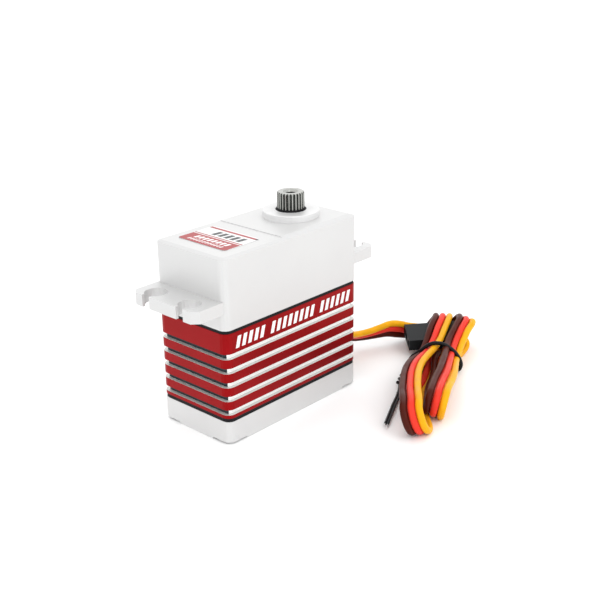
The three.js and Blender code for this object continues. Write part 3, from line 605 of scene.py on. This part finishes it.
SECOND_LOW_PASS = [
    ((-22.5, 2.0, 1.65), (0, 1.0, -0.5)),
    ((-16.0, 1.6, 1.65), (0, 1.0, -0.4)),
    ((-9.0, 1.9, 1.75), (0, 1.0, -0.35)),
    ((-1.5, 1.6, 3.0), (0, 0.98, -0.35)),
    ((3.8, 2.7, 1.6), (-0.1, 1.0, -0.2)),
    ((7.5, 3.8, 1.0), (-0.5, 0.85, -0.1)),
    ((10.2, 5.0, 1.3), (-1.05, 0.6, 0)),
    ((11.6, 5.65, 2.6), (-1.3, 0.45, -0.12)),
    ((11.8, 5.15, 3.8), (-1.35, 0.43, -0.22)),
    ((11.45, 4.1, 4.25), (-1.35, 0.43, -0.25)),
    ((11.1, 3.1, 4.3), (-1.35, 0.43, -0.25)),
]


def fold(place, end, radius, height, first, last):
    """Half a turn round an end of the hank: end is 1 for the far one and -1 for the near.

    first and last give, at its start and finish, its angle from the top in degrees,
    the distance to the right, and the direction from the brown wire to the yellow one.
    """
    points = []
    steps = 6
    for step in range(steps + 1):
        share = step / steps
        angle = math.radians(first[0] + share * (last[0] - first[0]))
        eased = share * share * (3 - 2 * share)
        right = first[1] + eased * (last[1] - first[1])
        across = Vector(first[2]).lerp(Vector(last[2]), share)
        along = place + end * radius * math.sin(angle)
        points.append(((along, right, height + radius * math.cos(angle)), across))
    return points


HANK_RUN = (
    TURN_ONTO_HANK
    + FIRST_TOP_PASS
    + fold(
        place=-33.2,
        end=-1,
        radius=3.1,
        height=3.9,
        first=(0, -1.9, (0.2, 0.98, 0.12)),
        last=(180, 0.4, (0.4, 1, 0)),
    )
    + FIRST_LOW_PASS
    + fold(
        place=13.5,
        end=1,
        radius=3.15,
        height=3.95,
        first=(180, 1.0, (-0.1, 1, 0)),
        last=(0, 5.75, (-0.8, 1.03, -0.05)),
    )
    + SECOND_TOP_PASS
    + fold(
        place=-26.0,
        end=-1,
        radius=2.6,
        height=4.0,
        first=(0, 3.15, (0.1, 1.05, -0.05)),
        last=(160, 2.2, (0.1, 1.0, -0.38)),
    )
    + SECOND_LOW_PASS
)


def hank_direction(along, right, up):
    """A direction of the hank's own frame in the frame of the servo."""
    return along * HANK_ALONG + right * HANK_RIGHT + Vector((0, 0, up))


def wire_points(side):
    """One wire's points: side is -1 for brown, 0 for red and 1 for yellow."""
    route = [(Vector(point), Vector(across)) for point, across in LEAD_START]
    route += [(in_hank(*point), hank_direction(*across)) for point, across in HANK_RUN]
    return [point + side * WIRE_PITCH * across for point, across in route]


wire_brown = tube("wire_brown", wire_points(-1), WIRE_DIAMETER, WIRE_BROWN)
wire_red = tube("wire_red", wire_points(0), WIRE_DIAMETER, WIRE_RED)
wire_yellow = tube("wire_yellow", wire_points(1), WIRE_DIAMETER, WIRE_YELLOW)
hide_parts("lead_brown", "lead_hank")
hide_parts("lead_red", "lead_hank")
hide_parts("lead_yellow", "lead_hank")

# ---- plug -----------------------------------------------------------------------------


def plug_matrix():
    """From the plug's own frame, near top corner at the origin, to where it lies."""
    roll, pitch, yaw = (math.radians(turn) for turn in PLUG_TURNS)
    turn = Matrix.Rotation(yaw, 4, "Z") @ Matrix.Rotation(pitch, 4, "Y")
    return Matrix.Translation(mm(PLUG_CORNER)) @ turn @ Matrix.Rotation(roll, 4, "X")


def cuboid(mesh, low, high):
    """Adds a box between two opposite corners given in mm."""
    made = bmesh.ops.create_cube(mesh, size=1.0)["verts"]
    middle = (Vector(low) + Vector(high)) / 2
    size = Vector(high) - Vector(low)
    for vertex in made:
        vertex.co = mm(middle + Vector(a * b for a, b in zip(vertex.co, size)))


def mesh_data(name, build):
    """A mesh made by build, which adds its shapes to the bmesh it is given."""
    mesh = bmesh.new()
    build(mesh)
    data = bpy.data.meshes.new(name)
    mesh.to_mesh(data)
    mesh.free()
    return data


def cut(piece, name, build):
    """Subtracts the solids that build makes from piece, and keeps only the result."""
    tool = bpy.data.objects.new(name, mesh_data(name, build))
    bpy.context.scene.collection.objects.link(tool)
    modifier = piece.modifiers.new("cut", "BOOLEAN")
    modifier.operation = "DIFFERENCE"
    modifier.solver = "EXACT"
    modifier.use_self = True
    modifier.object = tool
    result = bpy.data.meshes.new_from_object(
        piece.evaluated_get(bpy.context.evaluated_depsgraph_get())
    )
    piece.modifiers.clear()
    piece.data = result
    bpy.data.objects.remove(tool)


def plug_block(mesh):
    """The plug's solid block, before its passages are cut."""
    length, width, height = PLUG_SIZE
    cuboid(mesh, (0, 0, -height), (length, width, 0))


def plug_openings(mesh):
    """Three passages along the plug: a contact's from one end meets a wire's from the other."""
    length, width, height = PLUG_SIZE
    for index in (-1, 0, 1):
        middle = width / 2 + index * CONTACT_PITCH
        left = middle - PLUG_HOLE_WIDTH / 2
        right = middle + PLUG_HOLE_WIDTH / 2
        contact_low = (-1, left, -height + CONTACT_HOLE_WALL)
        contact_high = (length - 3, right, -CONTACT_HOLE_WALL)
        wire_low = (length - 4, left, -height + WIRE_HOLE_WALL)
        wire_high = (length + 1, right, -WIRE_HOLE_WALL)
        cuboid(mesh, contact_low, contact_high)
        cuboid(mesh, wire_low, wire_high)


def make_plug():
    """The plug's shell, round the three contacts of the frame."""
    piece = bpy.data.objects.new("plug_shell", mesh_data("plug_shell", plug_block))
    bpy.context.scene.collection.objects.link(piece)
    piece.data.materials.append(BLACK_PLASTIC)
    cut(piece, "plug_openings", plug_openings)
    piece.matrix_world = plug_matrix()
    bevel = piece.modifiers.new("bevel", "BEVEL")
    bevel.width = mm(PLUG_EDGE)
    bevel.segments = 3
    bevel.limit_method = "ANGLE"
    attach(piece, "case")
    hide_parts("plug_housing")
    return piece


plug = make_plug()

# ---- twist tie ------------------------------------------------------------------------


# Middle line of the band, to the left and up: from the knot over the wires, round under
# them, and up again beside its own start.
TIE_ARCH = [
    (5.85, 1.5),
    (5.3, 2.9),
    (3.75, 4.35),
    (2.15, 5.85),
    (1.1, 6.55),
    (-0.2, 6.83),
    (-1.55, 6.72),
    (-3.1, 6.0),
    (-4.65, 4.65),
    (-5.7, 3.0),
    (-5.95, 1.6),
    (-5.3, 0.55),
    (-2.5, 0.46),
    (2.5, 0.46),
    (5.2, 0.6),
    (6.0, 1.7),
    (5.5, 3.0),
    (4.1, 4.4),
]


def hank_point(along, left, up):
    """A point of the hank's frame as the CAD source gives it, with +Y to the left."""
    return in_hank(along, -left, up)


def tie_loop():
    """The band's points; its end lies beside its start, nearer the hank's near end."""
    points = []
    for index, (left, up) in enumerate(TIE_ARCH):
        share = index / (len(TIE_ARCH) - 1)
        points.append(hank_point(TIE_PLACE + 0.25 - 0.85 * share, left, up))
    return points


tie_band = tube("tie_band", tie_loop(), TIE_BAND_DIAMETER, TIE_PLASTIC)
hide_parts("twist_tie")


def twisted_knot():
    """Two strands wound round each other between the band and the tails."""
    start = hank_point(TIE_PLACE - 0.4, 5.9, 1.5)
    end = hank_point(-12.6, 7.0, 1.15)
    along = (end - start).normalized()
    side = along.cross(Vector((0, 0, 1))).normalized()
    up = side.cross(along)
    steps = 36
    for strand in (0, 1):
        points = []
        for step in range(steps + 1):
            share = step / steps
            angle = 2 * math.pi * KNOT_TURNS * share + math.pi * strand
            offset = KNOT_RADIUS * (math.cos(angle) * side + math.sin(angle) * up)
            points.append(start.lerp(end, share) + offset)
        name = f"tie_twist_{strand + 1}"
        piece = tube(name, points, TIE_STRAND_DIAMETER, TIE_PLASTIC)


twisted_knot()


def tie_tails():
    """The two cut tails, side by side, each with a bare wire tip."""
    for number, aside in ((1, 0.27), (2, -0.27)):
        start = hank_point(-12.2, 6.75 + 0.6 * aside, 1.15)
        bend = hank_point(-15.5, 6.5 + aside, 0.7)
        end = hank_point(-32.0, 7.1 + aside, 0.7 + 0.3 * aside)
        points = [start, bend, bend.lerp(end, 0.5), end]
        tail = tube(f"tie_tail_{number}", points, TIE_TAIL_DIAMETER, TIE_PLASTIC)
        within = end.lerp(bend, 0.02)
        beyond = end + (end - bend).normalized() * (1.1 - aside)
        tip = tube(f"tie_tip_{number}", [within, beyond], TIE_TIP_DIAMETER, TIN)


tie_tails()

# ---- printed marks --------------------------------------------------------------------


def plate(mesh, corners, thickness):
    """A thin closed plate over a flat outline given in mm; thickness is a vector."""
    low = [mesh.verts.new(mm(Vector(corner))) for corner in corners]
    high = [mesh.verts.new(mm(Vector(corner) + thickness)) for corner in corners]
    mesh.faces.new(low[::-1])
    mesh.faces.new(high)
    for index in range(len(corners)):
        after = (index + 1) % len(corners)
        mesh.faces.new((low[index], low[after], high[after], high[index]))


def print_piece(name, outlines, thickness, material):
    """One printed mark: a thin plate over each outline; thickness is a vector in mm."""

    def build(mesh):
        for outline in outlines:
            plate(mesh, outline, Vector(thickness))
        bmesh.ops.recalc_face_normals(mesh, faces=mesh.faces)

    piece = link(name, mesh_data(name, build), material)


def on_label(x_low, x_high, y_low, y_high, slant=0.0, lift=0.0):
    """A rectangle or slanted bar on the label, as its four corners in order."""
    z = LABEL_TOP_Z + lift
    return [
        (x_low, y_low, z),
        (x_high, y_low + slant, z),
        (x_high, y_high + slant, z),
        (x_low, y_high, z),
    ]


def front_bars():
    """A row of plain slanted bars on the front band, in three groups."""
    bars = []
    bottom = FRONT_BAND_Z - FRONT_BAR_HEIGHT / 2
    top = FRONT_BAND_Z + FRONT_BAR_HEIGHT / 2
    x = FRONT_BARS_START
    for count in (5, 8, 6):
        for _ in range(count):
            bars.append([
                (x, FRONT_Y, bottom),
                (x + FRONT_BAR_WIDTH, FRONT_Y, bottom),
                (x + FRONT_BAR_WIDTH + FRONT_BAR_LEAN, FRONT_Y, top),
                (x + FRONT_BAR_LEAN, FRONT_Y, top),
            ])
            x += FRONT_BAR_PITCH
        x += FRONT_GROUP_GAP
    return bars


def label_block():
    """The solid block across the label's lower end, with its two outer corners cut round."""
    z = LABEL_TOP_Z
    outline = [(LABEL_BLOCK_HIGH, LABEL_RIGHT, z), (LABEL_BLOCK_HIGH, LABEL_LEFT, z)]
    corners = ((LABEL_LEFT - LABEL_ROUNDING, 90), (LABEL_RIGHT + LABEL_ROUNDING, 180))
    for corner, first in corners:
        for step in range(5):
            angle = math.radians(first + 22.5 * step)
            x = LABEL_BLOCK_LOW + LABEL_ROUNDING + LABEL_ROUNDING * math.cos(angle)
            outline.append((x, corner + LABEL_ROUNDING * math.sin(angle), z))
    return outline


def label_rim():
    """A dark line along the label's lower end and round its corners."""
    block = label_block()[2:]
    middle = Vector((-11.35, 0.35, LABEL_TOP_Z))
    directions = [(Vector(point) - middle).normalized() for point in block]
    outer = [Vector(point) + RIM_OUT * away for point, away in zip(block, directions)]
    inner = [Vector(point) - RIM_IN * away for point, away in zip(block, directions)]
    strips = []
    for index in range(len(block) - 1):
        strips.append((outer[index], outer[index + 1], inner[index + 1], inner[index]))
    return strips


def bar_row(x_low, x_high, first, pitch, width, count, lift=0.0):
    """A row of plain slanted bars across the label, from its right to its left."""
    bars = []
    for index in range(count):
        start = first + pitch * index
        bars.append(on_label(x_low, x_high, start, start + width, BAR_ROW_SLANT, lift))
    return bars


def make_front_marks():
    """Bars in place of the words on the front band."""
    print_piece("front_bars", front_bars(), (0, -FRONT_INK_THICKNESS, 0), INK_WHITE)


def make_label_marks():
    """Red areas, white bars on them, dark bars above, and a dark rim; no lettering."""
    lower_stripe = on_label(-11.6, -11.25, LABEL_RIGHT, LABEL_LEFT)
    upper_stripe = on_label(-7.45, -6.75, LABEL_RIGHT + 0.1, LABEL_LEFT - 0.1)
    red_areas = [label_block(), lower_stripe, upper_stripe]
    print_piece("label_red", red_areas, (0, 0, INK_THICKNESS), INK_RED)

    wide_row = bar_row(
        x_low=-14.1, x_high=-12.7, first=-4.6, pitch=1.25, width=0.75, count=8, lift=INK_THICKNESS
    )
    fine_row = bar_row(
        x_low=-15.5, x_high=-14.6, first=-4.4, pitch=0.85, width=0.4, count=12, lift=INK_THICKNESS
    )
    print_piece("label_white_bars", wide_row + fine_row, (0, 0, BAR_INK_THICKNESS), INK_WHITE)

    dark_row = bar_row(x_low=-10.6, x_high=-8.3, first=-4.7, pitch=1.75, width=1.1, count=5)
    print_piece("label_dark_bars", dark_row, (0, 0, INK_THICKNESS), INK_GREY)

    stripe_end = on_label(-7.45, -6.75, -6.55, -6.1, lift=STRIPE_END_LIFT)
    rim = label_rim() + [stripe_end]
    print_piece("label_rim", rim, (0, 0, RIM_INK_THICKNESS), INK_GREY)


make_front_marks()
make_label_marks()

# ---- floor and light ------------------------------------------------------------------


def make_floor():
    """A plain pale sheet that reaches past the picture."""
    data = mesh_data("floor", lambda mesh: bmesh.ops.create_grid(mesh, size=1.5))
    shader = Shader("floor_paper", 0.75)
    paper = shader.noise(60, 3)
    shader.colour(shader.mix(paper, (0.955, 0.958, 0.958), (0.965, 0.968, 0.968)))
    data.materials.append(shader.material)
    floor = bpy.data.objects.new("floor", data)
    bpy.context.scene.collection.objects.link(floor)
    floor.location.z = mm(-FLOOR_DROP)


def area_light(name, place, target, size, watts):
    """A round soft light, placed and aimed in metres."""
    data = bpy.data.lights.new(name, "AREA")
    data.shape = "DISK"
    data.size = size
    data.energy = watts
    light = bpy.data.objects.new(name, data)
    bpy.context.scene.collection.objects.link(light)
    light.location = place
    aim = Vector(target) - Vector(place)
    light.rotation_mode = "QUATERNION"
    light.rotation_quaternion = aim.to_track_quat("-Z", "Y")


def make_light():
    """An even white studio, with a soft key light in front and a weaker one behind."""
    world = bpy.data.worlds.new("studio")
    world.use_nodes = True
    background = world.node_tree.nodes["Background"]
    background.inputs["Color"].default_value = (1, 1, 1, 1)
    background.inputs["Strength"].default_value = WORLD_STRENGTH
    bpy.context.scene.world = world
    area_light("key", (0.0, -0.42, 0.42), (0.01, 0, 0.02), 0.35, KEY_WATTS)
    area_light("fill", (0.35, 0.3, 0.4), (0.02, 0, 0.02), 0.4, FILL_WATTS)
    bpy.context.scene.view_settings.view_transform = "Standard"


make_floor()
make_light()
